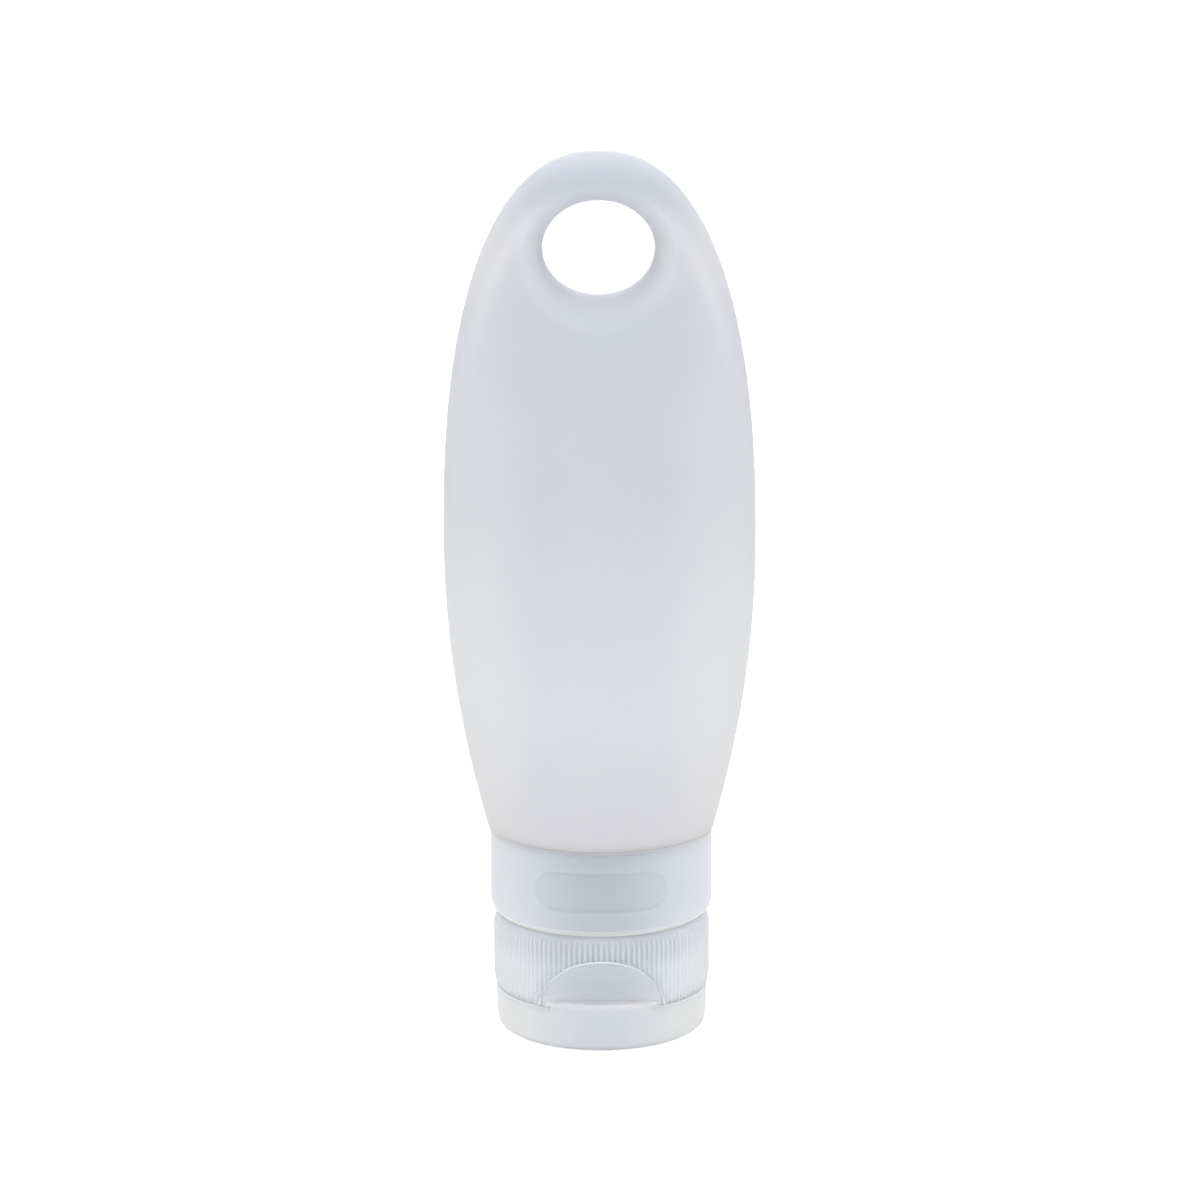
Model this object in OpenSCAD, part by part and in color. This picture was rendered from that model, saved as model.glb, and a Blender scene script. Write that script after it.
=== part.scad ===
// Soft squeeze bottle that stands on its flip cap, with a hang hole at the far end.
// Millimetres. The origin is the centre of the lid's flat underside, +Z runs up the bottle,
// and the front, with the name plate recess and the thumb scoop, faces -Y.

/* [Silicone body] */
// Height of the soft body above the collar
body_h = 114.9; // [95:0.1:160]
// Half width at the widest place
belly_r = 26.3; // [22:0.1:34]
// Height of the widest place above the collar
belly_h = 49.4; // [35:0.1:65]
// Roundness of the top outline, 2 is an ellipse
crown_power = 2.35; // [2:0.05:3]
// How far the soft body stands out past the collar
overhang = 0.25; // [0.1:0.05:0.8]
// Thickness of the silicone wall
wall = 2.2; // [1.4:0.1:2.8]
// Thickness of the flat tab round the hang hole
tab_t = 9.6; // [8:0.1:13]
// Rounding of the body's lower edge
foot_round = 0.7; // [0.4:0.1:2]
// Solid silicone left above the cavity
crown = 9; // [7:0.5:14]

/* [Hang hole] */
// Width of the hang hole
hole_w = 18.7; // [12:0.1:22]
// Height of the hang hole
hole_h = 15.9; // [12:0.1:20]
// Middle of the hang hole below the top of the bottle
hole_drop = 16; // [14:0.5:22]
// Rim flare above the hang hole
flare_top = 2.9; // [1:0.1:4]
// Rim flare beside the hang hole
flare_side = 3.6; // [1:0.1:4]
// Rim flare below the hang hole
flare_bottom = 6.4; // [2:0.1:8]
// Solid silicone beside the hang hole
web_side = 3.5; // [2.5:0.1:5]
// Solid silicone below the hang hole
web_bottom = 7; // [4:0.1:9]

/* [Neck ring] */
// Radius of the mouth
mouth_r = 11.8; // [9:0.1:14]
// Wall of the rigid neck ring
ring_wall = 2; // [1.5:0.1:3]
// Thickness of the silicone clamped between neck ring and collar
clamp_t = 2.5; // [1.5:0.1:3.5]
// Thickness of the neck ring's flange
flange_t = 1.2; // [0.8:0.1:2]
// How far the sleeve ends below the collar's upper edge
sleeve_drop = 1.7; // [1:0.1:4]
// How far the barbs stand out
barb = 0.5; // [0.2:0.05:0.8]
// Pitch of the thread
pitch = 3.2; // [2.6:0.1:3.6]
// Turns of thread on each part
turns = 2; // [1:0.25:2]
// Height of the thread ridge
thread_h = 0.9; // [0.5:0.05:1.2]

/* [Collar] */
// Wall of the collar
collar_wall = 2.7; // [1.8:0.1:4]
// Height of the collar
collar_h = 14.4; // [13:0.1:20]
// Thickness of the lip under the flange
lip_t = 1; // [0.8:0.1:1.6]
// How far the collar's lower edge is drawn in
collar_round = 1; // [0.3:0.1:1.5]
// Height over which the collar's lower edge is drawn in
collar_round_h = 2.2; // [1:0.1:3]
// Width of the bare name plate recess
plate_w = 22.6; // [14:0.1:28]
// Height of the name plate recess
plate_h = 7.1; // [5:0.1:9]
// Depth of the name plate recess
plate_depth = 0.5; // [0.2:0.05:1]
// Middle of the name plate recess above the collar's lower edge
plate_z = 7.3; // [6:0.1:9]

/* [Screw cap] */
// Wall of the screw cap under the ribs
cap_wall = 3.15; // [2.6:0.05:4]
// Height of the screw cap
cap_h = 13; // [11.8:0.1:18]
// Thickness of the deck that carries the nozzle
deck_t = 2.3; // [2.1:0.1:2.6]
// Number of grip ribs
ribs = 124; // [60:2:140]
// Height of the grip ribs
rib_h = 0.38; // [0.2:0.02:0.6]
// Depth of the thumb scoop at the parting line
scoop_depth = 3.4; // [2:0.1:3.8]
// Height of the thumb scoop
scoop_h = 8.3; // [5:0.1:10]
// Gap between the cap and the collar
waist = 0.4; // [0.3:0.1:1]

/* [Flip lid] */
// Height of the flip lid
lid_h = 7.1; // [6.8:0.1:10]
// Thickness of the lid's flat underside
lid_floor = 1.6; // [1.2:0.1:2]
// Wall of the lid's skirt
lid_wall = 1.6; // [1.2:0.1:2.2]
// Rounding of the lid's lower edge
lid_round = 1.6; // [0.8:0.1:2]
// Taper of the lid's side from top to bottom
lid_taper = 0.15; // [0:0.05:0.6]
// Height of the raised thumb lip in the scoop
lip_rise = 1.2; // [0.5:0.1:1.6]
// Rounding of the thumb lip's outer edge
lip_round = 0.9; // [0.4:0.1:1.2]
// Gap between the lid and the screw cap
seam = 0.2; // [0.15:0.05:0.4]

/* [Hinge] */
// Radius of the hinge barrels
barrel_r = 1.6; // [1.4:0.05:1.8]
// Radius of the lid's hinge pins
pin_r = 0.9; // [0.6:0.05:1.1]
// Length of each hinge pin
pin_l = 1.8; // [1.2:0.1:2]
// Radial clearance of the pins in their sockets
pin_gap = 0.05; // [0.02:0.01:0.1]
// Half width of the lid's hinge knuckle
knuckle_w = 3; // [2:0.1:4]
// Width of each ear on the cap
ear_w = 2.4; // [2.2:0.1:3]
// Clearance round the moving barrels
barrel_gap = 0.2; // [0.15:0.05:0.3]
// Height of the buttress that carries the ears
pad_h = 4.4; // [3.6:0.1:6]

/* [Nozzle and valve] */
// Radius of the hole in the nozzle's tip
orifice_r = 3.2; // [2:0.1:3.6]
// How far the nozzle stands out of the deck
nozzle_h = 3.9; // [3.4:0.1:4.2]
// Wall of the nozzle
nozzle_wall = 1.4; // [1:0.1:2]
// Thickness of the valve's slit membrane
membrane_t = 0.5; // [0.3:0.1:0.8]
// Length of each slit in the valve
slit_l = 4.4; // [3:0.1:5]
// Width of each slit in the valve
slit_w = 0.14; // [0.08:0.02:0.3]
// Thickness of the seal washer
seal_t = 1; // [0.7:0.1:1.4]

/* [Smoothness] */
// Sides of the body
body_sides = 56; // [32:8:72]
// Rings of the body
body_rings = 34; // [20:2:48]

/* [Hidden] */
$fn = 72;
gap = 0.3;
eps = 0.01;
over = 1;
soft_edge = 0.15;
silicone = [0.80, 0.82, 0.86];
clear_plastic = [0.86, 0.88, 0.91];

// Radii, built outwards from the mouth
ring_r = mouth_r + ring_wall;
clamp_r = ring_r + clamp_t;
collar_r = clamp_r + collar_wall;
foot_r = collar_r + overhang;
thread_r = ring_r + thread_h;
cap_bore_r = thread_r + gap;
cap_r = cap_bore_r + cap_wall;

// Heights, built upwards from the floor
deck_z = lid_h + seam;
deck_top = deck_z + deck_t;
cap_top = deck_z + cap_h;
spigot_z = deck_top + seal_t;
collar_z = cap_top + waist;
flange_z = collar_z + lip_t;
clamp_z = flange_z + flange_t;
body_z = collar_z + collar_h;
sleeve_top = body_z - sleeve_drop;
belly_z = body_z + belly_h;
top_z = body_z + body_h;
hole_z = top_z - hole_drop;

// Front edge of the deck at the thumb scoop, the lid's raised lip before it and the room behind it
scoop_y = cap_r + rib_h - scoop_depth;
ledge_y = scoop_y - 0.7;
lip_y = scoop_y + seam + scoop_depth * (lip_rise - seam) / scoop_h;
lip_top = lid_h + lip_rise;
guide_r = ledge_y - gap;
guide_h = 2;

// Hinge line, at the back of the parting line between lid and cap
hinge_y = cap_r - 1.25;
hinge_z = deck_z - seam / 2;
lid_back = hinge_y - 0.15;
ear_out = knuckle_w + barrel_gap + ear_w;

// Nozzle and valve, from the tip inwards
valve_r = orifice_r + 0.8;
nozzle_bore = valve_r + 0.1;
nozzle_tip = deck_z - nozzle_h;
nozzle_lip = 1.2;
seat_z = deck_z + 0.9;
valve_flange_t = 1;
valve_flange_r = valve_r + nozzle_wall + valve_flange_t;
seat_r = valve_flange_r + 0.1;
retainer_top = deck_top + 0.6;

// Closed surface through rings of points, each ring running the same way round the path
module loft(rings) {
    n = len(rings[0]);
    last = len(rings) - 1;
    function middle(ring) = [for (k = [0:2]) [for (p = ring) p[k]] * [for (p = ring) 1] / n];
    polyhedron(
        concat([for (r = rings) each r], [middle(rings[0]), middle(rings[last])]),
        concat(
            [for (j = [0:last - 1], i = [0:n - 1])
                [j * n + i, (j + 1) * n + i, (j + 1) * n + (i + 1) % n]],
            [for (j = [0:last - 1], i = [0:n - 1])
                [j * n + i, (j + 1) * n + (i + 1) % n, j * n + (i + 1) % n]],
            [for (i = [0:n - 1]) [(last + 1) * n, i, (i + 1) % n]],
            [for (i = [0:n - 1]) [(last + 1) * n + 1, last * n + (i + 1) % n, last * n + i]]));
}

// Half width of the front outline
function half_width(z) = z > belly_z
    ? belly_r * pow(max(0, 1 - pow((z - belly_z) / (top_z - belly_z), crown_power)), 1 / crown_power)
    : belly_r - (belly_r - foot_r) * pow((belly_z - z) / belly_h, 2);

// Share of the way from the foot to the flat tab
function rise(z) = max(0, min(1, (z - body_z) / (body_h - tab_t)));

// Half depth: round at the foot, drawn in like a tube towards the flat tab
function half_depth(z) = tab_t / 2 + (foot_r - tab_t / 2) * pow(1 - pow(rise(z), 2.2), 1.3);

// Rounding that closes a shape over its last stretch below an end height
function closing(z, end, stretch) = sqrt(max(0, 1 - pow(max(0, (z - end + stretch) / stretch), 2)));

// What the rounded foot takes off the radius
function foot_cut(z) = let (h = max(0, body_z + foot_round - z))
    foot_round - sqrt(max(0, pow(foot_round, 2) - pow(h, 2)));

// Section of the body, an ellipse at the foot and fuller towards the tab
function fullness(z) = 2 + 0.5 * rise(z);
function signed_power(v, e) = sign(v) * pow(abs(v), e);
function section(w, d, z) = let (e = 2 / fullness(z)) [for (i = [0:body_sides - 1])
    let (a = 360 * i / body_sides) [w * signed_power(cos(a), e), d * signed_power(sin(a), e), z]];

// Half depth of the outer surface above a point of the front view
function surface_y(x, z) = let (k = fullness(z), w = max(eps, half_width(z)))
    half_depth(z) * pow(max(0, 1 - pow(min(1, abs(x) / w), k)), 1 / k);

crown_rings = round(0.6 * body_rings);
side_rings = body_rings - crown_rings - 4;
outer_heights = concat(
    [for (a = [0, 30, 60, 90]) body_z + foot_round * (1 - cos(a))],
    [for (i = [1:side_rings]) body_z + foot_round + (belly_h - foot_round) * i / side_rings],
    [for (i = [1:crown_rings]) let (a = 90 * min(i, crown_rings - 0.4) / crown_rings)
        belly_z + (top_z - belly_z) * pow(sin(a), 2 / crown_power)]);
outer_skin = [for (z = outer_heights)
    section(half_width(z) - foot_cut(z),
            half_depth(z) * closing(z, top_z, tab_t / 2) - foot_cut(z), z)];

// The cavity widens from the neck like a funnel and follows the skin up to its own crown
cavity_top = top_z - crown;
funnel_z = sleeve_top - 1;
funnel_r = ring_r - 0.8;
funnel_h = body_z + wall + 2 - funnel_z;
cavity_rings = round(0.7 * body_rings);
cavity_heights = concat(
    [for (i = [0:3]) funnel_z + funnel_h * i / 4],
    [for (i = [0:cavity_rings - 1])
        funnel_z + funnel_h + (cavity_top - funnel_z - funnel_h) * sin(90 * i / cavity_rings)]);
function funnel(z) = sin(90 * min(1, (z - funnel_z) / funnel_h));
function cavity_half(full, z) = funnel_r + (full - wall - funnel_r) * funnel(z);
cavity_skin = [for (z = cavity_heights)
    section(cavity_half(half_width(z), z) * closing(z, cavity_top, 6),
            cavity_half(half_depth(z), z) * closing(z, cavity_top, 4), z)];

// Ellipse in the front view round the hang hole, with its own reach above and below
function oval(half_w, up, down) = [for (i = [0:39]) let (a = 9 * i)
    [half_w * sin(a), hole_z + (cos(a) > 0 ? up : down) * cos(a)]];

// The hang hole flares out into the faces of the tab
hole_sides = 48;
hole_land = 0.8;
function flare(a) = flare_side + ((cos(a) > 0 ? flare_top : flare_bottom) - flare_side) * pow(cos(a), 2);
function rim_depth(a) = surface_y(
    (hole_w / 2 + flare(a)) * sin(a), hole_z + (hole_h / 2 + flare(a)) * cos(a));
function hole_ring(side, turn, out) = [for (i = [0:hole_sides - 1])
    let (a = 360 * i / hole_sides, open = flare(a) * (1 - cos(turn)))
    [(hole_w / 2 + open) * sin(a),
     side * (hole_land + (rim_depth(a) - hole_land) * sin(turn) + out),
     hole_z + (hole_h / 2 + open) * cos(a)]];
hole_skin = concat(
    [hole_ring(-1, 90, foot_r)],
    [for (turn = [90:-22.5:0]) hole_ring(-1, turn, 0)],
    [for (turn = [0:22.5:90]) hole_ring(1, turn, 0)],
    [hole_ring(1, 90, foot_r)]);

// Outline of the barbed sleeve, from the flange to its chamfered end
barb_l = (sleeve_top - clamp_z) / 5;
function barb_points(z) = [[ring_r, z], [ring_r + barb, z], [ring_r, z + barb_l]];
sleeve_outline = concat(
    [[0, clamp_z], [ring_r, clamp_z]],
    barb_points(clamp_z + barb_l), barb_points(clamp_z + 3 * barb_l),
    [[ring_r, sleeve_top - 0.8], [ring_r - 0.6, sleeve_top], [0, sleeve_top]]);

module revolve(points) {
    rotate_extrude() polygon(points);
}

// Helical ridge on a wall: out is 1 for a spigot and -1 for a bore
thread_steps = 30;
function ridge(i, count, root, start, out) = let (
        a = 360 * i / thread_steps,
        z = start + pitch * i / thread_steps,
        tall = thread_h * min(1, i / 4, (count - i) / 4),
        base = root - out * 0.3,
        crest = root + out * tall,
        path = [[base, -0.7], [base, 0.7], [crest, 0.3], [crest, -0.3]],
        ordered = out > 0 ? path : [for (k = [3:-1:0]) path[k]])
    [for (p = ordered) [p[0] * cos(a), p[0] * sin(a), z + p[1]]];
module thread(root, start, out) {
    count = thread_steps * turns;
    loft([for (i = [0:count]) ridge(i, count, root, start, out)]);
}

// Soft one-piece body: foot, belly, flat tab with its hang hole, and the clamped neck
module silicone_body() {
    color(silicone) difference() {
        union() {
            loft(outer_skin);
            translate([0, 0, clamp_z]) cylinder(r = clamp_r, h = body_z + wall - clamp_z);
        }
        difference() {
            loft(cavity_skin);
            rotate([90, 0, 0]) translate([0, 0, -foot_r]) linear_extrude(2 * foot_r)
                polygon(oval(hole_w / 2 + web_side, hole_h / 2 + crown, hole_h / 2 + web_bottom));
        }
        translate([0, 0, -eps]) revolve(sleeve_outline);
        loft(hole_skin);
    }
}

// Rigid ring that carries the neck: barbed sleeve, flange and threaded spigot
module neck_ring() {
    color(clear_plastic) {
        difference() {
            union() {
                revolve(sleeve_outline);
                translate([0, 0, flange_z]) cylinder(r = clamp_r - 0.05, h = flange_t);
                translate([0, 0, spigot_z]) cylinder(r = ring_r, h = flange_z - spigot_z + eps);
            }
            translate([0, 0, spigot_z - over]) cylinder(r = mouth_r, h = sleeve_top - spigot_z + 2 * over);
        }
        thread(ring_r, spigot_z + 1.6, 1);
    }
}

// Rigid band round the neck, with a bare stadium recess for a name plate
module collar() {
    edge = [for (a = [0:22.5:90])
        [collar_r - collar_round * (1 - sin(a)), collar_z + collar_round_h * (1 - cos(a))]];
    color(clear_plastic) difference() {
        revolve(concat(
            [[thread_r + gap, collar_z]], edge,
            [[collar_r, body_z - soft_edge], [collar_r - soft_edge, body_z], [clamp_r, body_z],
             [clamp_r, flange_z], [thread_r + gap, flange_z]]));
        difference() {
            translate([0, 0, collar_z + plate_z]) rotate([90, 0, 0]) linear_extrude(2 * collar_r)
                stadium(plate_w, plate_h);
            cylinder(r = collar_r - plate_depth, h = top_z);
        }
    }
}

module stadium(w, h) {
    for (side = [-1, 1]) translate([side * (w - h) / 2, 0]) circle(d = h);
    square([w - h, h], center = true);
}

// Flat washer between the end of the spigot and the deck of the cap
module seal_washer() {
    color(silicone) translate([0, 0, deck_top]) difference() {
        cylinder(r = ring_r, h = seal_t);
        translate([0, 0, -over]) cylinder(r = mouth_r + 0.2, h = seal_t + 2 * over);
    }
}

// Fine upright ribs, cut off by an outline that slopes at both ends so that they fade out there
rib_outline = [for (i = [0:ribs - 1], step = [-0.38, -0.14, 0.14, 0.38])
    let (a = 360 * (i + step) / ribs, r = cap_r + (abs(step) < 0.2 ? rib_h : 0))
    [r * cos(a), r * sin(a)]];
cap_outline = [
    [0, deck_z], [cap_r + 0.05, deck_z], [cap_r + 1.2 * rib_h, deck_z + 2.4],
    [cap_r + 1.2 * rib_h, cap_top - 2.4], [cap_r + 0.05, cap_top - 0.9],
    [cap_r - 0.4, cap_top], [0, cap_top]];

module cap_shell() {
    difference() {
        intersection() {
            translate([0, 0, deck_z]) linear_extrude(cap_h) polygon(rib_outline);
            revolve(cap_outline);
        }
        translate([0, 0, deck_top]) cylinder(r = cap_bore_r, h = cap_h);
        rotate([90, 0, 90]) translate([0, 0, -cap_r]) linear_extrude(2 * cap_r)
            polygon([[-scoop_y, deck_z - over], [-scoop_y, deck_z],
                     [-cap_r - rib_h, deck_z + scoop_h], [-2 * cap_r, deck_z + scoop_h],
                     [-2 * cap_r, deck_z - over]]);
    }
}

// Solid bar along the hinge line between two places
module hinge_bar(r, from, to) {
    translate([from, hinge_y, hinge_z]) rotate([0, 90, 0]) cylinder(r = r, h = to - from);
}

// Buttress at the back of the cap that ends in the two hinge ears
module hinge_pad() {
    low = hinge_y - barrel_r;
    high = hinge_y + barrel_r;
    translate([-ear_out, 0, 0]) rotate([90, 0, 90]) linear_extrude(2 * ear_out)
        polygon([[low, deck_z], [high, deck_z], [high, deck_z + 1.2],
                 [cap_r - 1.5, deck_z + pad_h], [low, deck_z + pad_h]]);
    for (side = [-1, 1])
        hinge_bar(barrel_r, side > 0 ? ear_out - ear_w : -ear_out,
                  side > 0 ? ear_out : ear_w - ear_out);
}

// Ribbed cap: skirt with its thread, deck, nozzle, guide ring and the hinge ears
module screw_cap() {
    color(clear_plastic) {
        difference() {
            union() {
                cap_shell();
                hinge_pad();
                revolve([[0, deck_top], [0, nozzle_tip], [nozzle_bore + nozzle_wall - 0.3, nozzle_tip],
                         [nozzle_bore + nozzle_wall, nozzle_tip + 0.3],
                         [nozzle_bore + nozzle_wall + 1, deck_z], [nozzle_bore + nozzle_wall + 1, deck_top]]);
                translate([0, 0, deck_top - eps]) cylinder(r = seat_r + 1, h = retainer_top - deck_top);
                translate([0, 0, deck_z - guide_h]) difference() {
                    cylinder(r = guide_r, h = guide_h + eps);
                    translate([0, 0, -over]) cylinder(r = guide_r - 1, h = guide_h + 2 * over);
                }
            }
            revolve([[0, nozzle_tip - over], [orifice_r, nozzle_tip - over],
                     [orifice_r, nozzle_tip + nozzle_lip], [nozzle_bore, nozzle_tip + nozzle_lip],
                     [nozzle_bore, seat_z], [seat_r, seat_z],
                     [seat_r, retainer_top + over], [0, retainer_top + over]]);
            hinge_bar(barrel_r + barrel_gap, -knuckle_w - barrel_gap, knuckle_w + barrel_gap);
            hinge_bar(pin_r + pin_gap, -knuckle_w - pin_l - 0.2, knuckle_w + pin_l + 0.2);
        }
        thread(cap_bore_r, spigot_z, -1);
    }
}

// Cross-slit silicone valve behind the nozzle's tip
module valve() {
    foot = nozzle_tip + nozzle_lip;
    top = seat_z + valve_flange_t;
    color(silicone) difference() {
        revolve([[0, foot + 0.7], [0.5 * valve_r, foot + 0.5], [0.8 * valve_r, foot], [valve_r, foot],
                 [valve_r, seat_z], [valve_flange_r, seat_z], [valve_flange_r, top],
                 [valve_r - 0.7, top], [valve_r - 0.7, foot + membrane_t + 0.4],
                 [0.5 * valve_r, foot + membrane_t + 0.5], [0, foot + membrane_t + 0.7]]);
        for (turn = [0, 90]) translate([0, 0, foot]) rotate(turn)
            translate([-slit_l / 2, -slit_w / 2, -over]) cube([slit_l, slit_w, top - foot + 2 * over]);
    }
}

// Ring that holds the valve's flange in the deck
module valve_retainer() {
    low = seat_z + valve_flange_t;
    color(clear_plastic) translate([0, 0, low]) difference() {
        cylinder(r = seat_r, h = retainer_top - low);
        translate([0, 0, -over]) cylinder(r = valve_r, h = retainer_top - low + 2 * over);
    }
}

// Outline of the lid's side, from its rounded lower edge to the rounded top of the thumb lip
lid_outline = concat(
    [for (a = [0:22.5:90]) [cap_r - lid_taper - lid_round * (1 - sin(a)), lid_round * (1 - cos(a))]],
    [for (a = [0:22.5:90]) [cap_r - lip_round * (1 - cos(a)), lip_top - lip_round * (1 - sin(a))]]);

// What the lid's side is cut down by, all round except for the raised thumb lip
module lid_trim() {
    intersection() {
        revolve([[0, lid_h], [cap_r - 0.2, lid_h], [cap_r + 0.8, lid_h - 1.5],
                 [cap_r + 0.8, lip_top + over], [0, lip_top + over]]);
        translate([-2 * cap_r, -lip_y, 0]) cube([4 * cap_r, 4 * cap_r, 2 * lip_top]);
    }
}

// Flip lid: flat underside, thumb lip in front, sealing plug, knuckle and pins at the back
module flip_lid() {
    relief = barrel_r + 0.3;
    color(clear_plastic) {
        difference() {
            union() {
                difference() {
                    revolve(concat([[0, 0]], lid_outline, [[0, lip_top]]));
                    lid_trim();
                    intersection() {
                        translate([0, 0, lid_floor]) cylinder(r = cap_r - lid_taper - lid_wall, h = lid_h);
                        translate([-cap_r, -ledge_y, lid_floor])
                            cube([2 * cap_r, ledge_y + lid_back - lid_wall, lip_top]);
                    }
                    translate([-cap_r, lid_back, hinge_z - relief]) cube([2 * cap_r, cap_r, lid_h]);
                }
                hinge_bar(barrel_r, -knuckle_w, knuckle_w);
            }
            for (side = [-1, 1])
                hinge_bar(barrel_r + barrel_gap, side > 0 ? knuckle_w : -ear_out - barrel_gap,
                          side > 0 ? ear_out + barrel_gap : -knuckle_w);
        }
        hinge_bar(pin_r, -knuckle_w - pin_l, knuckle_w + pin_l);
        translate([0, 0, lid_floor - eps]) difference() {
            cylinder(r = orifice_r - gap, h = nozzle_tip + nozzle_lip - 0.1 - lid_floor);
            translate([0, 0, eps]) cylinder(r = orifice_r - gap - 0.8, h = nozzle_h);
        }
    }
}

silicone_body();
neck_ring();
collar();
seal_washer();
screw_cap();
valve();
valve_retainer();
flip_lid();
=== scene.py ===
"""Soft squeeze bottle on its flip cap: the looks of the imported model, in metres and in its frame."""

import math

import bmesh
import bpy
import numpy as np
from mathutils import Matrix, Vector


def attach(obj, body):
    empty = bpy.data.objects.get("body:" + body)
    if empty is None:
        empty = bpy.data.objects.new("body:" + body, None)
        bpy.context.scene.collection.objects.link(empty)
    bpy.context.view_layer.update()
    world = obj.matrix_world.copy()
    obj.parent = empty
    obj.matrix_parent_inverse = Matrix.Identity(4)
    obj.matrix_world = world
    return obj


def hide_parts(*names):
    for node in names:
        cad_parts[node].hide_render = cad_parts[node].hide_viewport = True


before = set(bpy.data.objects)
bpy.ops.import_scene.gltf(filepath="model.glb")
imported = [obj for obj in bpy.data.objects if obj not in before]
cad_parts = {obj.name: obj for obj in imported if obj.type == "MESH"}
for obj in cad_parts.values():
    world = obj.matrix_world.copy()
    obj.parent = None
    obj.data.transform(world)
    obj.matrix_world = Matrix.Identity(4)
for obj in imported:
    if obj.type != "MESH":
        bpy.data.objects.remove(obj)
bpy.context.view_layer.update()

MM = 0.001

# Soft body, in millimetres: the sizes of the solids, but for a sharper edge round its foot
BELLY_R, BELLY_H, CROWN_POWER = 26.3, 49.4, 2.35
BODY_Z, BODY_H, TAB_T = 35.1, 114.9, 9.6
FOOT_R, FOOT_ROUND = 19.25, 0.2
DEPTH_POWER, DEPTH_CURVE, TAB_FULLNESS = 2.2, 1.3, 0.5
WALL, CROWN = 2.2, 9.0
HOLE_W, HOLE_H, HOLE_DROP, HOLE_LAND = 18.7, 15.9, 16.0, 0.8
FLARE_TOP, FLARE_SIDE, FLARE_BOTTOM = 2.9, 3.6, 6.4
WEB_SIDE, WEB_BOTTOM = 3.5, 7.0
RING_R, CLAMP_R, CLAMP_Z, SLEEVE_TOP, BARB = 13.8, 16.3, 22.9, 33.4, 0.5
BELLY_Z, TOP_Z = BODY_Z + BELLY_H, BODY_Z + BODY_H
HOLE_Z = TOP_Z - HOLE_DROP
CAVITY_TOP = TOP_Z - CROWN

# Grid of the soft body: points round it, and the patch of rings that takes in the hang hole
SIDES = 192
HALF_PATCH, PATCH_LOW, PATCH_TOP = 25, 116.4, 147.2

# Collar: band, bore, bare recess in front, and the thin lips at either end
COLLAR_R, COLLAR_Z, COLLAR_ROUND, COLLAR_ROUND_H = 19.0, 20.7, 1.0, 2.2
COLLAR_BORE, COLLAR_LIP_Z, CAP_TOP = 15.0, 21.7, 20.3
PLATE_W, PLATE_H, PLATE_DEPTH, PLATE_Z, PLATE_EDGE = 22.6, 7.1, 0.3, 28.0, 0.4
RIM_R, LIP_OUT = 17.8, 0.16

# Cap and lid, and the concave face of the thumb scoop as (height, depth) pairs
CAP_R, RIB_H, CAP_Z, DECK_TOP, DECK_R = 18.15, 0.38, 7.3, 9.6, 15.2
LIP_Z, LEDGE_Z, LEDGE_X = 8.3, 7.45, 10.0
SCOOP = ((7.3, 15.13), (8.9, 15.35), (9.9, 15.62), (10.9, 15.98), (12.2, 16.5), (13.5, 17.1),
         (15.0, 17.84), (16.15, 18.6))

FIT = 0.03     # air left between the soft body and the rigid parts that it grips
SEAT = 0.02    # finer gap, where the faces of two pieces would touch


def half_width(z):
    """Half the body's width: a parabola down to the foot, a superellipse up to the top."""
    if z > BELLY_Z:
        up = (z - BELLY_Z) / (TOP_Z - BELLY_Z)
        return BELLY_R * max(0.0, 1 - up ** CROWN_POWER) ** (1 / CROWN_POWER)
    return BELLY_R - (BELLY_R - FOOT_R) * ((BELLY_Z - z) / BELLY_H) ** 2


def rise(z):
    """Share of the way from the foot to where the tab has its own thickness."""
    return min(1.0, max(0.0, (z - BODY_Z) / (BODY_H - TAB_T)))


def half_depth(z):
    """Half the body's depth, drawn in from the round foot to the thin tab."""
    return TAB_T / 2 + (FOOT_R - TAB_T / 2) * (1 - rise(z) ** DEPTH_POWER) ** DEPTH_CURVE


def closing(z, end, stretch):
    """Rounding that closes a shape over its last stretch below an end height."""
    return math.sqrt(max(0.0, 1 - max(0.0, (z - end + stretch) / stretch) ** 2))


def fullness(z):
    """Power of the cross-section: an ellipse at the foot, fuller towards the tab."""
    return 2 + TAB_FULLNESS * rise(z)


def surface_y(x, z):
    """Half depth of the outer skin above a point of the front view."""
    k, w = fullness(z), max(0.01, half_width(z))
    return (half_depth(z) * closing(z, TOP_Z, TAB_T / 2)
            * max(0.0, 1 - min(1.0, abs(x) / w) ** k) ** (1 / k))


def section(w, d, z):
    """Ring of the body with half width w and half depth d."""
    a = np.arange(SIDES) * 2 * np.pi / SIDES
    c, s, e = np.cos(a), np.sin(a), 2 / fullness(z)
    return np.stack([w * np.sign(c) * np.abs(c) ** e, d * np.sign(s) * np.abs(s) ** e,
                     np.full(SIDES, z)], axis=1)


def circle(r, z, turns=SIDES):
    """Round ring. The radius may also be one value for each point."""
    a = np.arange(turns) * 2 * np.pi / turns
    return np.stack([r * np.cos(a), r * np.sin(a), np.full(turns, z)], axis=1)


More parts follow.
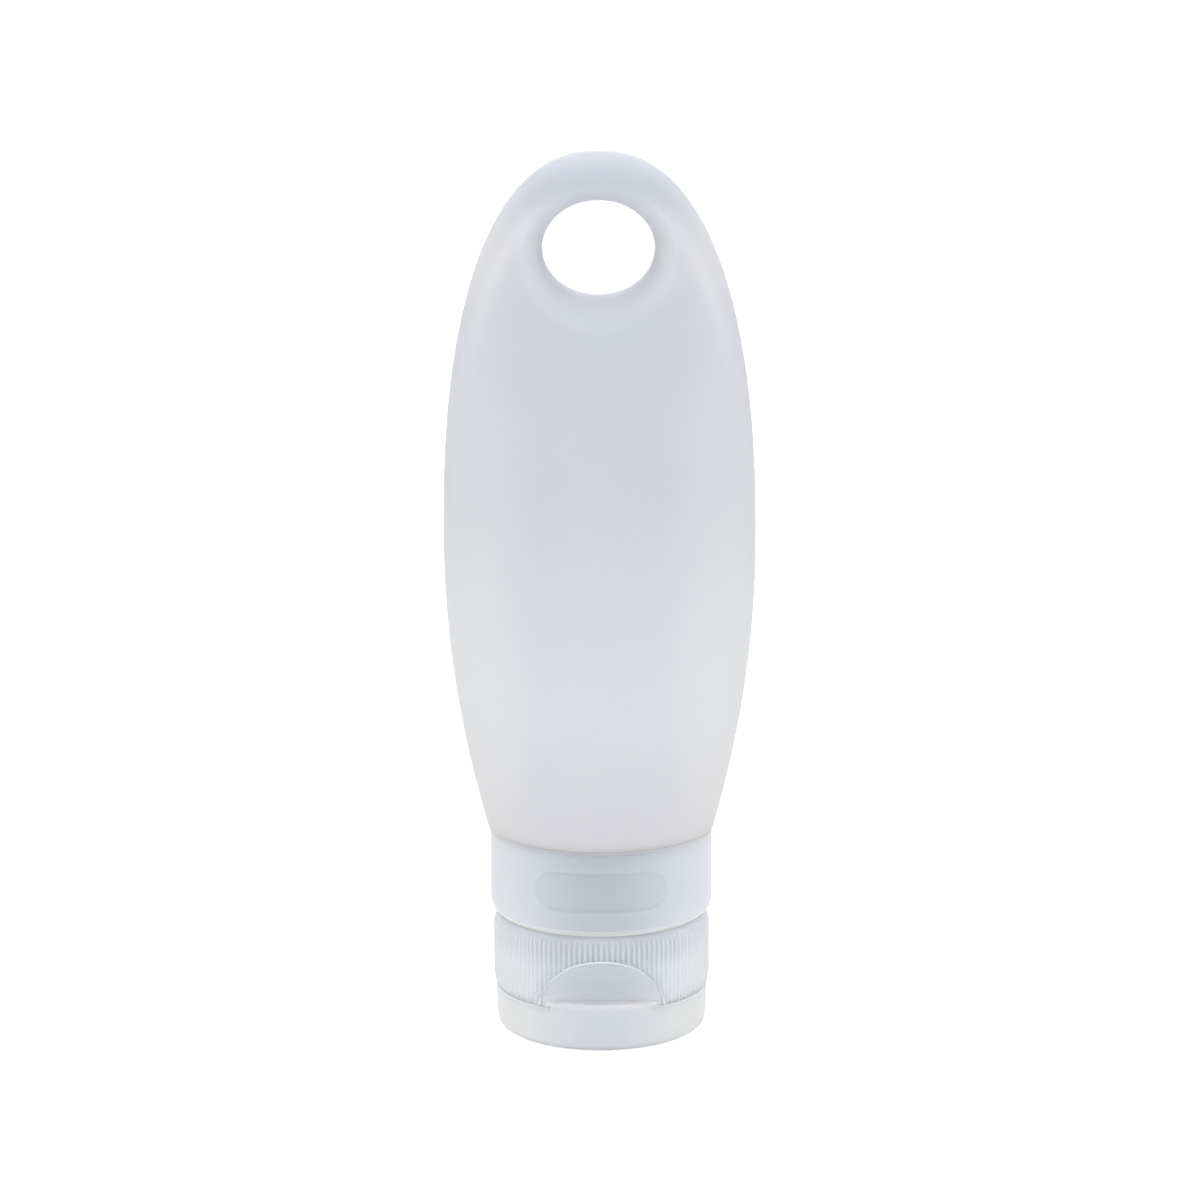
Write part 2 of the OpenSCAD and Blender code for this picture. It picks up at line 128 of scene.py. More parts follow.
class Shell:
    """Points in millimetres and faces, gathered ring by ring."""

    def __init__(self):
        self.points, self.faces = [], []

    def ring(self, points):
        start = len(self.points)
        self.points.extend(np.asarray(points, float))
        return list(range(start, len(self.points)))

    def band(self, a, b):
        """Faces between two closed rings of the same length."""
        n = len(a)
        self.faces += [(a[i], a[(i + 1) % n], b[(i + 1) % n], b[i]) for i in range(n)]

    def grown(self, last, points):
        """A new ring that a band joins to the last one."""
        ring = self.ring(points)
        self.band(last, ring)
        return ring

    def tip(self, ring, point):
        """Closes a ring with a fan round one point."""
        middle = self.ring([point])[0]
        n = len(ring)
        self.faces += [(ring[i], ring[(i + 1) % n], middle) for i in range(n)]

    def solid(self, rings):
        """Closed solid along a row of rings."""
        for a, b in zip(rings, rings[1:]):
            self.band(a, b)
        self.faces += [tuple(reversed(rings[0])), tuple(rings[-1])]
        return self

    def mesh(self, name):
        """The shell as a mesh in metres, with points that nothing uses left out."""
        used = sorted({i for f in self.faces for i in f})
        number = {old: new for new, old in enumerate(used)}
        mesh = bpy.data.meshes.new(name)
        mesh.from_pydata([tuple(self.points[i] * MM) for i in used], [],
                         [[number[i] for i in f] for f in self.faces])
        mesh.update()
        return mesh


def tidy(mesh, sharp_deg):
    """Merges doubles, turns all faces outwards and shades smooth up to an angle."""
    bm = bmesh.new()
    bm.from_mesh(mesh)
    bmesh.ops.remove_doubles(bm, verts=bm.verts, dist=1e-6)
    bmesh.ops.recalc_face_normals(bm, faces=bm.faces)
    bm.to_mesh(mesh)
    bm.free()
    mesh.shade_smooth()
    mesh.set_sharp_from_angle(angle=math.radians(sharp_deg))
    return mesh


def new_object(name, data):
    obj = bpy.data.objects.new(name, data)
    bpy.context.scene.collection.objects.link(obj)
    return obj


def combined(mesh, operation, shell):
    """A mesh with one solid taken off it or joined to it."""
    work = new_object("work", mesh)
    solid = new_object("solid", tidy(shell.mesh("solid"), 40))
    step = work.modifiers.new("step", "BOOLEAN")
    step.operation, step.solver, step.object = operation, "EXACT", solid
    bpy.context.view_layer.update()
    result = bpy.data.meshes.new_from_object(work.evaluated_get(
        bpy.context.evaluated_depsgraph_get()))
    for obj in (work, solid):
        bpy.data.objects.remove(obj)
    return result


def flare(a):
    """How far the rim of the hang hole opens, at an angle from the top of the hole."""
    end = FLARE_TOP if math.cos(a) > 0 else FLARE_BOTTOM
    return FLARE_SIDE + (end - FLARE_SIDE) * math.cos(a) ** 2


def hole_point(a, turn, side):
    """Point of the flared hole: turn is a quarter at its rim and 0 at its narrow middle."""
    rim_x = (HOLE_W / 2 + flare(a)) * math.sin(a)
    rim_z = HOLE_Z + (HOLE_H / 2 + flare(a)) * math.cos(a)
    opened = flare(a) * (1 - math.cos(turn))
    depth = HOLE_LAND + (surface_y(rim_x, rim_z) - HOLE_LAND) * math.sin(turn)
    return ((HOLE_W / 2 + opened) * math.sin(a), side * depth,
            HOLE_Z + (HOLE_H / 2 + opened) * math.cos(a))


def skin_heights():
    """Heights of the skin's rings, with how far the rounded foot draws each of them in."""
    heights = [(BODY_Z + FOOT_ROUND * (1 - math.cos(t)), FOOT_ROUND * (1 - math.sin(t)))
               for t in np.linspace(0, math.pi / 2, 8)]
    heights[0] = (BODY_Z + SEAT, FOOT_ROUND)
    low = list(np.linspace(BODY_Z + FOOT_ROUND, BELLY_Z, 46)[1:])
    high = [BELLY_Z + (TOP_Z - BELLY_Z) * math.sin(a) ** (2 / CROWN_POWER)
            for a in np.linspace(0, math.pi / 2, 116)[1:-1]]
    return heights + [(z, 0.0) for z in low + high]


def hole_patch(shell, loop, side):
    """Rings from the edge of a patch to the rim of the hang hole, and on to its narrow middle."""
    edge = np.array([shell.points[i] for i in loop])
    angle = np.arctan2(edge[:, 0], edge[:, 2] - HOLE_Z)
    rim = np.array([hole_point(a, math.pi / 2, side) for a in angle])
    last = loop
    for s in np.linspace(0, 1, 10)[1:]:
        flat = edge * (1 - s) + rim * s
        last = shell.grown(last, [(x, side * surface_y(x, z), z) for x, _, z in flat])
    for turn in np.linspace(math.pi / 2, 0, 15)[1:]:
        last = shell.grown(last, [hole_point(a, turn, side) for a in angle])
    return last


def outer_skin(shell):
    """Foot, belly and tab as one grid, with a patch of rings round the hole on either face."""
    heights = skin_heights()
    rows = [shell.ring(section(half_width(z) - cut,
                               half_depth(z) * closing(z, TOP_Z, TAB_T / 2) - cut, z))
            for z, cut in heights]
    low, top = (min(range(len(rows)), key=lambda j: abs(heights[j][0] - end))
                for end in (PATCH_LOW, PATCH_TOP))
    middles = {-1: 3 * SIDES // 4, 1: SIDES // 4}
    for j in range(len(rows) - 1):
        for i in range(SIDES):
            inside = low <= j < top and any(
                c - HALF_PATCH <= i < c + HALF_PATCH for c in middles.values())
            if not inside:
                n = (i + 1) % SIDES
                shell.faces.append((rows[j][i], rows[j][n], rows[j + 1][n], rows[j + 1][i]))
    shell.tip(rows[-1], (0, 0, TOP_Z))
    throats = {}
    for side, c in middles.items():
        left, right = c - HALF_PATCH, c + HALF_PATCH
        loop = [rows[low][i] for i in range(left, right)]
        loop += [rows[j][right] for j in range(low, top)]
        loop += [rows[top][i] for i in range(right, left, -1)]
        loop += [rows[j][left] for j in range(top, low, -1)]
        throats[side] = hole_patch(shell, loop, side)
    n = len(throats[-1])
    shell.band(throats[-1], [throats[1][(2 * HALF_PATCH - p) % n] for p in range(n)])
    return rows[0]


def neck_profile():
    """Radii and heights of the soft neck's inside, round the barbed sleeve."""
    r = RING_R + FIT
    points = [(r, CLAMP_Z + FIT)]
    length = (SLEEVE_TOP - CLAMP_Z) / 5
    for z in (CLAMP_Z + length, CLAMP_Z + 3 * length):
        points += [(r, z), (r + BARB, z + 0.02), (r, z + length)]
    return points + [(r, SLEEVE_TOP - 0.8), (RING_R - 0.25, SLEEVE_TOP - 0.4)]


def web_solid():
    """Oval block round the hang hole, where the two walls of the body meet."""
    a = np.arange(128) * 2 * np.pi / 128
    up, down = HOLE_H / 2 + CROWN, HOLE_H / 2 + WEB_BOTTOM
    x = (HOLE_W / 2 + WEB_SIDE) * np.sin(a)
    z = HOLE_Z + np.where(np.cos(a) > 0, up, down) * np.cos(a)
    reach = 30.0
    shell = Shell()
    return shell.solid([shell.ring(np.stack([x, np.full(128, y), z], axis=1))
                        for y in (-reach, reach)])


def cavity_mesh():
    """The hollow as a closed solid: neck, funnel and cavity, forked round the hang hole."""
    shell = Shell()
    funnel_z, funnel_r = SLEEVE_TOP - 1, RING_R - 0.8
    funnel_h = BODY_Z + WALL + 2 - funnel_z

    def half(full, z):
        grown = math.sin(math.pi / 2 * min(1, (z - funnel_z) / funnel_h))
        return funnel_r + (full - WALL - funnel_r) * grown

    heights = list(np.linspace(SLEEVE_TOP + 0.1, funnel_z + funnel_h, 12))
    heights += [funnel_z + funnel_h + (CAVITY_TOP - funnel_z - funnel_h) * math.sin(a)
                for a in np.linspace(0, math.pi / 2, 90)[1:-1]]
    rings = [shell.ring(circle(r, z)) for r, z in neck_profile()]
    rings += [shell.ring(section(half(half_width(z), z) * closing(z, CAVITY_TOP, 6),
                                 half(half_depth(z), z) * closing(z, CAVITY_TOP, 4), z))
              for z in heights]
    for a, b in zip(rings, rings[1:]):
        shell.band(a, b)
    shell.tip(rings[-1], (0, 0, CAVITY_TOP))
    shell.faces.append(tuple(reversed(rings[0])))
    return combined(tidy(shell.mesh("hollow"), 40), "DIFFERENCE", web_solid())


def soft_body():
    """One closed skin: outside, foot, clamped neck, and the hollow inside."""
    shell = Shell()
    last = outer_skin(shell)
    for r, z in ((CLAMP_R - FIT, BODY_Z + SEAT), (CLAMP_R - FIT, CLAMP_Z + 2 * FIT),
                 (CLAMP_R - 2 * FIT, CLAMP_Z + FIT), (RING_R + FIT, CLAMP_Z + FIT)):
        last = shell.grown(last, circle(r, z))
    hollow = cavity_mesh()
    start = len(shell.points)
    points = np.array([v.co for v in hollow.vertices]) / MM
    shell.points.extend(points)
    floor_z = CLAMP_Z + FIT + 0.001
    # The hollow's own floor is left out, so that the neck is open
    for p in hollow.polygons:
        if not all(points[i][2] < floor_z for i in p.vertices):
            shell.faces.append(tuple(start + i for i in p.vertices))
    return new_object("soft_body", tidy(shell.mesh("soft_body"), 32))


def collar_wall(z, turns):
    """Ring of the collar's outside at one height, sunk where it crosses the recess in front."""
    a = np.arange(turns) * 2 * np.pi / turns
    beside = np.maximum(np.abs(COLLAR_R * np.cos(a)) - (PLATE_W - PLATE_H) / 2, 0)
    out = np.hypot(beside, z - PLATE_Z) - PLATE_H / 2
    share = np.clip((0.3 * PLATE_EDGE - out) / PLATE_EDGE, 0, 1)
    sunk = np.where(np.sin(a) < 0, PLATE_DEPTH * share ** 2 * (3 - 2 * share), 0)
    return circle(COLLAR_R - sunk, z, turns)


def collar_band():
    """The collar with a soft-edged bare recess in front and a small rim above the cap."""
    turns, top = 480, BODY_Z - LIP_OUT - SEAT
    outline = [(COLLAR_BORE, CAP_TOP + FIT), (RIM_R - 0.04, CAP_TOP + FIT), (RIM_R, CAP_TOP + 0.08),
               (RIM_R + 0.16, COLLAR_Z - 0.02)]
    outline += [(COLLAR_R - COLLAR_ROUND * (1 - math.sin(t)),
                 COLLAR_Z + COLLAR_ROUND_H * (1 - math.cos(t)))
                for t in np.linspace(0, math.pi / 2, 12)]
    lip = [(COLLAR_R + LIP_OUT * (1 - math.cos(t)), top + LIP_OUT * math.sin(t))
           for t in np.linspace(0, math.pi / 2, 5)[1:]]
    lip += [(CLAMP_R, BODY_Z), (CLAMP_R, COLLAR_LIP_Z), (COLLAR_BORE, COLLAR_LIP_Z)]
    shell = Shell()
    rings = [shell.ring(circle(r, z, turns)) for r, z in outline]
    rings += [shell.ring(collar_wall(z, turns))
              for z in np.linspace(COLLAR_Z + COLLAR_ROUND_H, top, 52)[1:]]
    rings += [shell.ring(circle(r, z, turns)) for r, z in lip]
    for low, high in zip(rings, rings[1:] + rings[:1]):
        shell.band(low, high)
    mesh = tidy(shell.mesh("collar_band"), 40)
    for p in mesh.polygons:
        x, y, z = p.center / MM
        on_lip = z > top + 0.02 and math.hypot(x, y) > 18
        p.material_index = int(z < COLLAR_Z - 0.01 or on_lip)
    return new_object("collar_band", mesh)


def lid_bead():
    """Thin bead on the lid's top edge to each side of the thumb lip, which fills the parting line."""
    wall_r, bead_r, foot, top = CAP_R - 1.15, CAP_R + 0.005, CAP_Z - 0.6, CAP_Z - 0.03
    outline = [(wall_r, foot), (bead_r - 0.03, foot), (bead_r, foot + 0.2), (bead_r, top - 0.03),
               (bead_r - 0.035, top), (wall_r, top)]
    shell = Shell()
    for start, end in ((125, 241), (299, 415)):
        shell.solid([shell.ring([(r * math.cos(a), r * math.sin(a), z) for r, z in outline])
                     for a in np.radians(np.linspace(start, end, 120))])
    return shell


def scoop_depth(z):
    """How far in front of the cap's axis the scoop's concave face lies at one height."""
    return float(np.interp(z, [p[0] for p in SCOOP], [p[1] for p in SCOOP]))


def ledge_loop(a, share):
    """Cut through the thumb ledge at an angle from its middle, share of the way to its end."""
    bead_r, bulge, lift, foot_z = 0.26, 0.08, 0.5, CAP_Z - 0.7
    x, front, back = CAP_R * math.sin(a), CAP_R * math.cos(a), scoop_depth(LIP_Z) + SEAT
    room = front - back
    r, bead_z = min(bead_r, room), LEDGE_Z + lift * share ** 6
    loop = [(x, -front + 0.05, foot_z), (x, -front, foot_z + 0.15)]
    for t in np.radians(np.linspace(-60, 75, 10)):
        out = r * (math.cos(t) - 1) + bulge * min(1.0, room)
        loop.append((x, -front - out, bead_z + r * math.sin(t)))
    y, z = loop[-1][1:]
    for k in np.linspace(0, 1, 9)[1:]:
        loop.append((x, y - (back + y) * k, z + (LIP_Z - z) * (1 - (1 - k) ** 1.5)))
    return loop + [(x, -scoop_depth(h) - SEAT, h) for h in (CAP_Z + 0.5, CAP_Z, foot_z)]


def lid_ledge():
    """Thumb ledge: a rounded bead in front, and a top that rises from it to the scoop's foot."""
    end = math.acos((scoop_depth(LIP_Z) + 0.12) / CAP_R)
    shell = Shell()
    return shell.solid([shell.ring(ledge_loop(a, a / end)) for a in np.linspace(-end, end, 97)])


def scoop_bead():
    """Thin rounded edge round the arch of the scoop, where the ribs run out."""
    r, bead_r = CAP_R + RIB_H, 0.17
    half = []
    for z in np.linspace(CAP_Z + 0.2, SCOOP[-1][0] - 0.07, 60):
        y = scoop_depth(z)
        half.append((math.sqrt(max(0.0, r * r - y * y)), -min(y, r), z))
    line = np.array([(-x, y, z) for x, y, z in half] + half[::-1][1:])
    along = np.gradient(line, axis=0)
    along /= np.linalg.norm(along, axis=1)[:, None]
    out = line * (1, 1, 0) / np.hypot(line[:, 0], line[:, 1])[:, None]
    side = np.cross(along, out)
    side /= np.linalg.norm(side, axis=1)[:, None]
    out = np.cross(side, along)
    turns = np.linspace(0, 2 * math.pi, 11)[:-1]
    shell = Shell()
    return shell.solid([shell.ring([p + bead_r * (math.cos(t) * u + math.sin(t) * v) for t in turns])
                        for p, u, v in zip(line, out, side)])


def scoop_solid():
    """Block with the scoop's concave face, which is taken off the front of the cap."""
    half_w, front, foot = 12, 21, 6.0
    outline = [(-y, z) for z, y in SCOOP]
    outline += [(-front, SCOOP[-1][0]), (-front, foot), (-SCOOP[0][1], foot)]
    shell = Shell()
    return shell.solid([shell.ring([(x, y, z) for y, z in outline]) for x in (-half_w, half_w)])


def carved(name, changes):
    """A CAD node's mesh as a piece of its own, with solids taken off it or joined to it."""
    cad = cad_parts[name]
    mesh = cad.data.copy()
    mesh.transform(cad.matrix_world)
    for operation, shell in changes:
        mesh = combined(mesh, operation, shell)
    mesh.materials.clear()
    return mesh


def in_scoop(face):
    """Whether a face of the cap belongs to the scoop's concave face."""
    points = [v.co / MM for v in face.verts]
    return all(abs(-y - scoop_depth(z)) < 0.01 and z < SCOOP[-1][0] + 0.01 for _, y, z in points)


def on_bead(face):
    """Whether a face of the cap belongs to the bead round the scoop's arch."""
    x, y, z = face.calc_center_median() / MM
    return (abs(-y - scoop_depth(z)) < 0.2 and math.hypot(x, y) > CAP_R + RIB_H - 0.1
            and z < SCOOP[-1][0] + 0.1)


def grip_cap():
    """The screw cap with a concave scoop, a thin bead round its arch, and softly shaded ribs."""
    mesh = tidy(carved("screw_cap", [("DIFFERENCE", scoop_solid()), ("UNION", scoop_bead())]), 75)
    bm = bmesh.new()
    bm.from_mesh(mesh)
    dished = {f.index for f in bm.faces if in_scoop(f)}
    for f in bm.faces:
        f.material_index = 2 if f.index in dished else int(on_bead(f))
        f.smooth = abs(f.normal.z) < 0.999
    for v in bm.verts:
        if abs(v.co.z / MM - DECK_TOP) < 1e-3 and math.hypot(v.co.x, v.co.y) / MM < DECK_R:
            v.co.z -= SEAT * MM
    for e in bm.edges:
        if len(e.link_faces) == 2 and len({f.index in dished for f in e.link_faces}) == 2:
            e.smooth = False
    bm.to_mesh(mesh)
    bm.free()
    return new_object("grip_cap", mesh)


def stand_lid():
    """The flip lid with a filled parting line and a beaded thumb ledge."""
    mesh = tidy(carved("flip_lid", [("UNION", lid_bead()), ("UNION", lid_ledge())]), 35)
    for p in mesh.polygons:
        p.use_smooth = abs(p.normal.z) < 0.999
        x, y, z = p.center / MM
        ledge = z > LEDGE_Z - 0.26 and -y > SCOOP[0][1] - 0.03 and abs(x) < LEDGE_X
        seam = math.hypot(x, y) > CAP_R - 0.35 and CAP_Z - 0.55 < z < CAP_Z - 0.01
        p.material_index = int(ledge or seam and (abs(x) > LEDGE_X - 0.2 or y > 0))
    return new_object("stand_lid", mesh)


def node(mat, kind, **values):
    """A new material node, with values for its properties and its inputs."""
    n = mat.node_tree.nodes.new(kind)
    for key, value in values.items():
        if hasattr(n, key):
            setattr(n, key, value)
        else:
            n.inputs[key.replace("_", " ")].default_value = value
    return n


def fed(mat, n, values):
    """A node whose first inputs take plain values or other nodes' outputs."""
    for socket, value in zip(n.inputs, values):
        if isinstance(value, bpy.types.NodeSocket):
            mat.node_tree.links.new(value, socket)
        else:
            socket.default_value = value
    return n


def calc(mat, operation, *values):
    return fed(mat, node(mat, "ShaderNodeMath", operation=operation), values).outputs[0]


def vector(mat, operation, *values):
    return fed(mat, node(mat, "ShaderNodeVectorMath", operation=operation), values).outputs[0]


def mapped(mat, kind, value, start, end, low=0.0, high=1.0):
    """A value that runs from low to high between start and end, and stays there beyond them."""
    n = node(mat, "ShaderNodeMapRange", interpolation_type=kind)
    return fed(mat, n, (value, start, end, low, high)).outputs["Result"]


def noise(mat, where, scale, detail):
    n = node(mat, "ShaderNodeTexNoise", Scale=scale, Detail=detail)
    return fed(mat, n, [where]).outputs["Fac"]


def ramped(mat, share, colours):
    """Colours blended along a share from (share, colour) stops."""
    n = fed(mat, node(mat, "ShaderNodeValToRGB"), [share])
    n.color_ramp.interpolation = "CARDINAL"
    stops = n.color_ramp.elements
    while len(stops) < len(colours):
        stops.new(0.5)
    for stop, (at, colour) in zip(stops, colours):
        stop.position, stop.color = at, (*colour, 1)
    return n.outputs["Color"]


def tinted(mat, colour, value, start, end, tint, far_tint):
    """A colour times one tint where a value is below start, and another where it is past end."""
    factor = mapped(mat, "SMOOTHSTEP", value, start, end)
    change = [b - a for a, b in zip(tint, far_tint)]
    return vector(mat, "MULTIPLY", colour, vector(mat, "MULTIPLY_ADD", factor, change, tint))


def painted_highlight_streaks(mat, colour, across, up, strength):
    """Painted highlight: soft light streaks that follow the outline of the tab, some 3 mm inside it.
    """
    middle, reach = 0.79, 0.13
    foot, full, fading, end = (z * MM for z in (TOP_Z - 44, HOLE_Z, TOP_Z - 11, TOP_Z - 5.5))
    side = calc(mat, "POWER", calc(mat, "MULTIPLY", across, 1000 / BELLY_R), CROWN_POWER)
    high = calc(mat, "MULTIPLY", calc(mat, "SUBTRACT", up, BELLY_Z * MM), 1000 / (TOP_Z - BELLY_Z))
    high = calc(mat, "POWER", calc(mat, "MAXIMUM", high, 0.0), CROWN_POWER)
    off = calc(mat, "ABSOLUTE", calc(mat, "SUBTRACT", calc(mat, "ADD", side, high), middle))
    ends = calc(mat, "MULTIPLY", mapped(mat, "SMOOTHSTEP", up, foot, full),
                mapped(mat, "SMOOTHSTEP", up, end, fading))
    amount = calc(mat, "MULTIPLY", mapped(mat, "SMOOTHSTEP", off, reach, 0.0), ends)
    product = node(mat, "ShaderNodeVectorMath", operation="SCALE")
    mat.node_tree.links.new(colour, product.inputs[0])
    mat.node_tree.links.new(calc(mat, "MULTIPLY_ADD", amount, strength, 1.0), product.inputs["Scale"])
    return product.outputs[0]


def moulded(name, colours, painted_side_light, rough=0.4, clear=0.0, depth=0.003, spread=(1.0, 1.0, 1.0),
            gloss=0.5, grain=3400.0, high=0.035, line=None, rim=0.0):
    """Translucent moulded material, in metres up and across the part.

    colours are (share of high, colour) stops up the part. painted_side_light is (from, to, tint, side
    tint):
    painted shade in the middle and painted light on the sides, where the side lamps would light the
    part, and how the one passes into the other. line is the height of a painted highlight along an
    edge. rim is the strength of the painted highlight streaks along the tab.
    """
    mat = bpy.data.materials.new(name)
    mat.use_nodes = True
    where = node(mat, "ShaderNodeTexCoord").outputs["Object"]
    split = fed(mat, node(mat, "ShaderNodeSeparateXYZ"), [where])
    up, across = split.outputs["Z"], calc(mat, "ABSOLUTE", split.outputs["X"])
    clouds = noise(mat, where, 120.0, 3.0)
    share = calc(mat, "MULTIPLY_ADD", clouds, 0.05, mapped(mat, "LINEAR", up, 0.0, high))
    # Painted light: the middle of the part is painted darker and its sides lighter, as the side light
    # would fall
    colour = tinted(mat, ramped(mat, share, colours), across, *painted_side_light)
    # Painted highlight: a thin lighter band at the height of an edge
    if line:
        away = calc(mat, "ABSOLUTE", calc(mat, "SUBTRACT", up, line))
        colour = tinted(mat, colour, away, 0.0001, 0.0005, (1.25, 1.24, 1.2), (1, 1, 1))
    # Painted highlight streaks along the tab, where its rounded edge would catch the light
    if rim:
        colour = painted_highlight_streaks(mat, colour, across, up, rim)
    satin = mapped(mat, "LINEAR", clouds, 0.0, 1.0, rough - 0.05, rough + 0.05)
    bump = node(mat, "ShaderNodeBump", Strength=0.08, Distance=0.0001)
    link, bsdf = mat.node_tree.links, mat.node_tree.nodes["Principled BSDF"]
    link.new(noise(mat, where, grain, 2.0), bump.inputs["Height"])
    link.new(colour, bsdf.inputs["Base Color"])
    link.new(satin, bsdf.inputs["Roughness"])
    link.new(bump.outputs["Normal"], bsdf.inputs["Normal"])
    for key, value in (("IOR", 1.42), ("Specular IOR Level", gloss), ("Transmission Weight", clear),
                       ("Subsurface Weight", 1.0), ("Subsurface Radius", spread),
                       ("Subsurface Scale", depth)):
        bsdf.inputs[key].default_value = value
    return mat


# The side tints below are painted light on each part's sides, with the middle left darker as painted
# shade
NO_TINT = (1.0, 1.0, 1.0)

# Silicone colours up the body: partly its own tone, partly painted light. The lower body is lighter
# and warmer where light from the floor falls, a lighter band beside the hang hole is a painted
# highlight, and the top above the hole is darker as painted shade
silicone = moulded(
    "frosted_silicone",
    [(0.26, (0.725, 0.725, 0.755)), (0.305, (0.74, 0.745, 0.785)), (0.43, (0.76, 0.785, 0.825)),
     (0.605, (0.70, 0.72, 0.775)), (0.75, (0.675, 0.695, 0.755)), (0.845, (0.66, 0.68, 0.74)),
     (0.918, (0.685, 0.695, 0.735)), (0.998, (0.63, 0.65, 0.71))],
    painted_side_light=(0.009, 0.0195, (0.975, 0.98, 0.99), (1.045, 1.035, 1.015)), rough=0.5, clear=0.05,
    spread=(1.0, 1.05, 1.15), gloss=0.15, grain=2600.0, high=0.15, rim=0.08)
cap_plastic = moulded(
    "cap_plastic",
    [(0.25, (0.71, 0.74, 0.805)), (0.43, (0.695, 0.73, 0.79)), (0.5, (0.625, 0.655, 0.715)),
     (0.6, (0.625, 0.655, 0.715))],
    painted_side_light=(0.006, 0.0165, NO_TINT, (1.215, 1.215, 1.22)), clear=0.06)
lid_plastic = moulded(
    "lid_plastic",
    [(0.0, (0.73, 0.76, 0.80)), (0.2, (0.715, 0.745, 0.79))],
    painted_side_light=(0.002, 0.0165, NO_TINT, (1.27, 1.27, 1.24)), clear=0.08)
# The collar carries a painted highlight just above its lower edge, at 21.1 mm
collar_plastic = moulded(
    "collar_plastic",
    [(0.6, (0.60, 0.63, 0.685)), (0.75, (0.575, 0.605, 0.665)), (1.0, (0.575, 0.605, 0.665))],
    painted_side_light=(0.001, 0.0175, NO_TINT, (1.34, 1.33, 1.31)), clear=0.12, line=0.0211)

# Thin edges and the scoop's face let little light in, so their depth is small
# Its colours hold painted light: a bright painted highlight round the collar's lower rim, and a ledge
# top painted lighter where the scoop would shade it
edge_plastic = moulded(
    "edge_plastic",
    [(0.24, (0.68, 0.71, 0.745)), (0.262, (0.76, 0.755, 0.78)), (0.29, (0.60, 0.63, 0.69)),
     (0.42, (0.69, 0.72, 0.77)), (0.58, (0.84, 0.83, 0.82)), (0.62, (0.84, 0.84, 0.85)),
     (0.95, (0.80, 0.81, 0.84))],
    painted_side_light=(0.001, 0.0175, NO_TINT, (1.12, 1.11, 1.1)), depth=0.0002)
scoop_plastic = moulded(
    "scoop_plastic",
    [(0.25, (0.715, 0.735, 0.785)), (0.275, (0.67, 0.695, 0.75)), (0.33, (0.62, 0.65, 0.70)),
     (0.46, (0.615, 0.65, 0.695))],
    painted_side_light=(0.002, 0.0105, NO_TINT, (1.09, 1.08, 1.05)), depth=0.0002, gloss=0.3)


def dress(obj, *materials):
    """Gives a piece its materials, which its faces' material numbers count from 0."""
    for material in materials:
        obj.data.materials.append(material)


body = soft_body()
dress(body, silicone)
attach(body, "bottle")
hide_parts("silicone_body")

band = collar_band()
dress(band, collar_plastic, edge_plastic)
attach(band, "bottle")
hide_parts("collar")

cap = grip_cap()
dress(cap, cap_plastic, edge_plastic, scoop_plastic)
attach(cap, "cap")
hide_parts("screw_cap")

lid = stand_lid()
dress(lid, lid_plastic, edge_plastic)
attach(lid, "lid")
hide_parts("flip_lid")

for name, material in (("neck_ring", cap_plastic), ("valve_retainer", cap_plastic),
                       ("seal_washer", silicone), ("valve", silicone)):
    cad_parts[name].data.materials.clear()
    dress(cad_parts[name], material)


def seen_white(tree):
    """1 for what the camera, reflections and see-through parts look at, and 0 for other light."""
    path = tree.nodes.new("ShaderNodeLightPath")
    seen = path.outputs["Is Camera Ray"]
    for kind in ("Is Glossy Ray", "Is Transmission Ray"):
        either = tree.nodes.new("ShaderNodeMath")
        either.operation = "MAXIMUM"
        tree.links.new(seen, either.inputs[0])
        tree.links.new(path.outputs[kind], either.inputs[1])
        seen = either.outputs[0]
    return seen


def make_world():
    """Soft light from all round, and a white background."""
    world = bpy.data.worlds.new("soft_white")
    bpy.context.scene.world = world
    world.use_nodes = True
    tree = world.node_tree
    tree.nodes.clear()
    out = tree.nodes.new("ShaderNodeOutputWorld")
    mix = tree.nodes.new("ShaderNodeMixShader")
    tree.links.new(seen_white(tree), mix.inputs[0])
    for socket, strength in ((mix.inputs[1], 0.4), (mix.inputs[2], 1.0)):
        light = tree.nodes.new("ShaderNodeBackground")
        light.inputs["Color"].default_value = (1, 1, 1, 1)
        light.inputs["Strength"].default_value = strength
        tree.links.new(light.outputs[0], socket)
    tree.links.new(mix.outputs[0], out.inputs["Surface"])


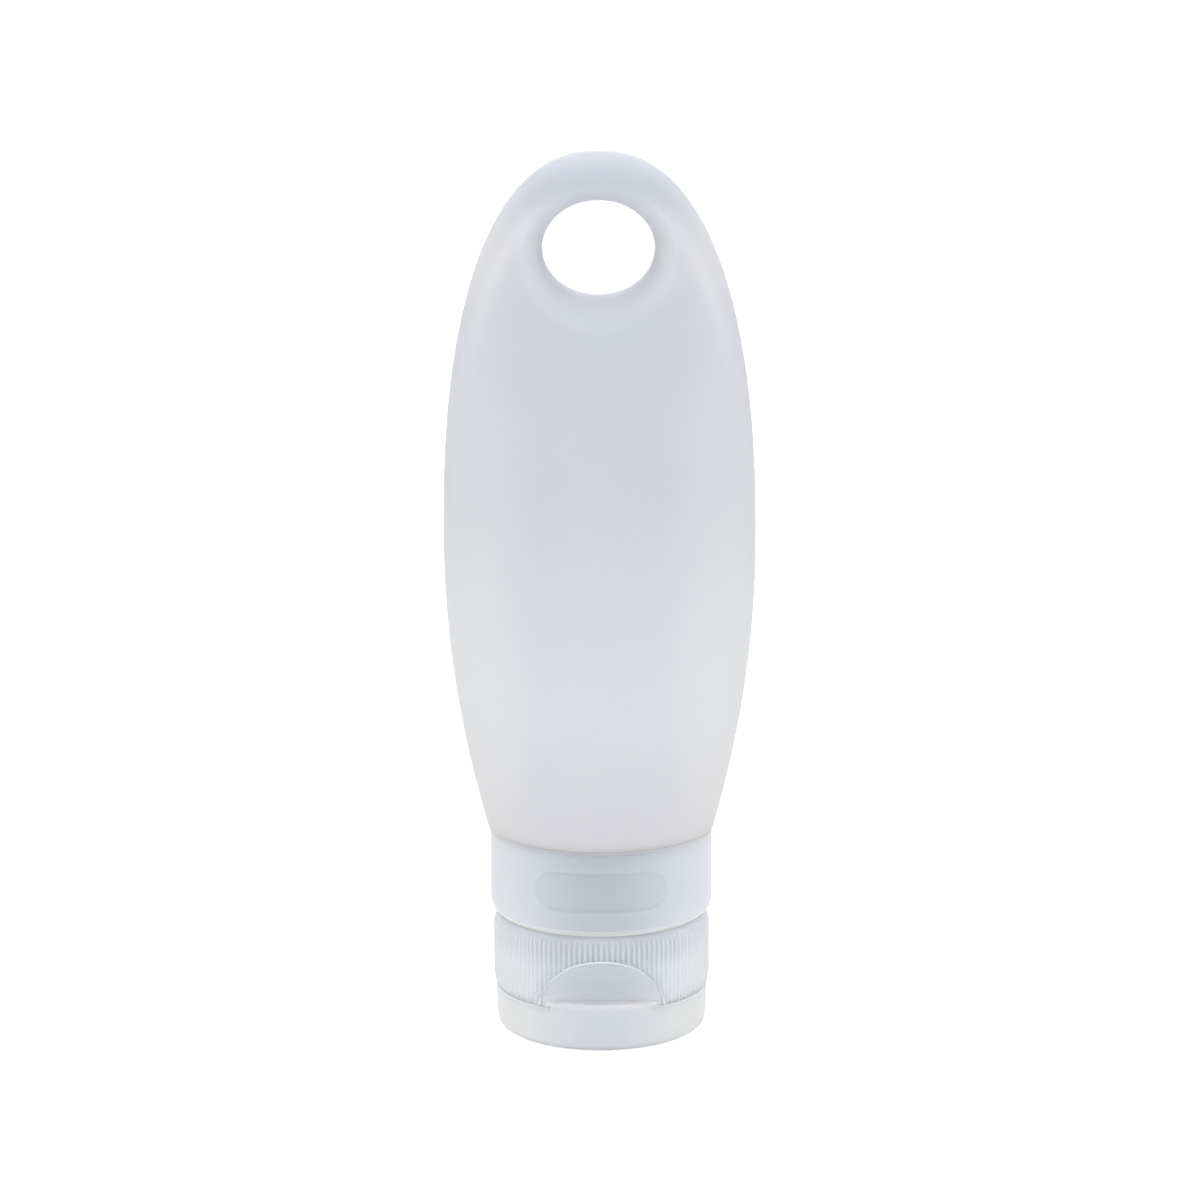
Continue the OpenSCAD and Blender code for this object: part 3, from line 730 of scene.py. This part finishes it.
def make_floor():
    """Pale floor that is lifted to white where it is seen, and keeps the object's shadow."""
    mesh = bpy.data.meshes.new("floor")
    s, z = 6.0, -0.0002
    mesh.from_pydata([(-s, -s, z), (s, -s, z), (s, s, z), (-s, s, z)], [], [(0, 1, 2, 3)])
    floor = new_object("floor", mesh)
    mat = bpy.data.materials.new("pale_floor")
    mat.use_nodes = True
    bsdf = mat.node_tree.nodes["Principled BSDF"]
    bsdf.inputs["Base Color"].default_value = (0.86, 0.86, 0.86, 1)
    bsdf.inputs["Roughness"].default_value = 0.9
    bsdf.inputs["Specular IOR Level"].default_value = 0.1
    bsdf.inputs["Emission Color"].default_value = (1, 1, 1, 1)
    lift = calc(mat, "MULTIPLY", seen_white(mat.node_tree), 0.66)
    mat.node_tree.links.new(lift, bsdf.inputs["Emission Strength"])
    mesh.materials.append(mat)


def softbox(name, at, size, power):
    """Large soft lamp that looks at the middle of the bottle."""
    data = bpy.data.lights.new(name, "AREA")
    data.shape, data.size, data.size_y = "RECTANGLE", size[0], size[1]
    data.energy = power
    lamp = new_object(name, data)
    lamp.location = at
    lamp.rotation_euler = (Vector((0, 0, 0.07)) - Vector(at)).to_track_quat("-Z", "Y").to_euler()


def make_camera():
    """The photograph's camera: 114 mm lens, 18 degrees above the base, rolled a quarter degree."""
    data = bpy.data.cameras.new("photo_camera")
    data.lens, data.sensor_width = 114.38, 36.0
    camera = new_object("photo_camera", data)
    eye, aim, roll = Vector((0, -0.630, 0.211)), Vector((0, 0, 0.0742)), math.radians(-0.25)
    turn = (aim - eye).to_track_quat("-Z", "Y").to_matrix() @ Matrix.Rotation(roll, 3, "Z")
    camera.matrix_world = Matrix.Translation(eye) @ turn.to_4x4()
    bpy.context.scene.camera = camera


make_world()
make_floor()
softbox("left_box", (-0.75, -0.05, 0.25), (0.7, 0.8), 1.2)
softbox("right_box", (0.75, -0.05, 0.25), (0.7, 0.8), 1.2)
softbox("top_box", (0.0, 0.1, 0.9), (0.8, 0.8), 4.0)
softbox("front_box", (0.0, -1.1, 0.5), (0.8, 0.6), 5.5)
softbox("back_box", (0.0, 0.9, 0.35), (0.8, 0.6), 2.5)
make_camera()
bpy.context.scene.view_settings.view_transform = "Standard"

bpy.context.view_layer.update()
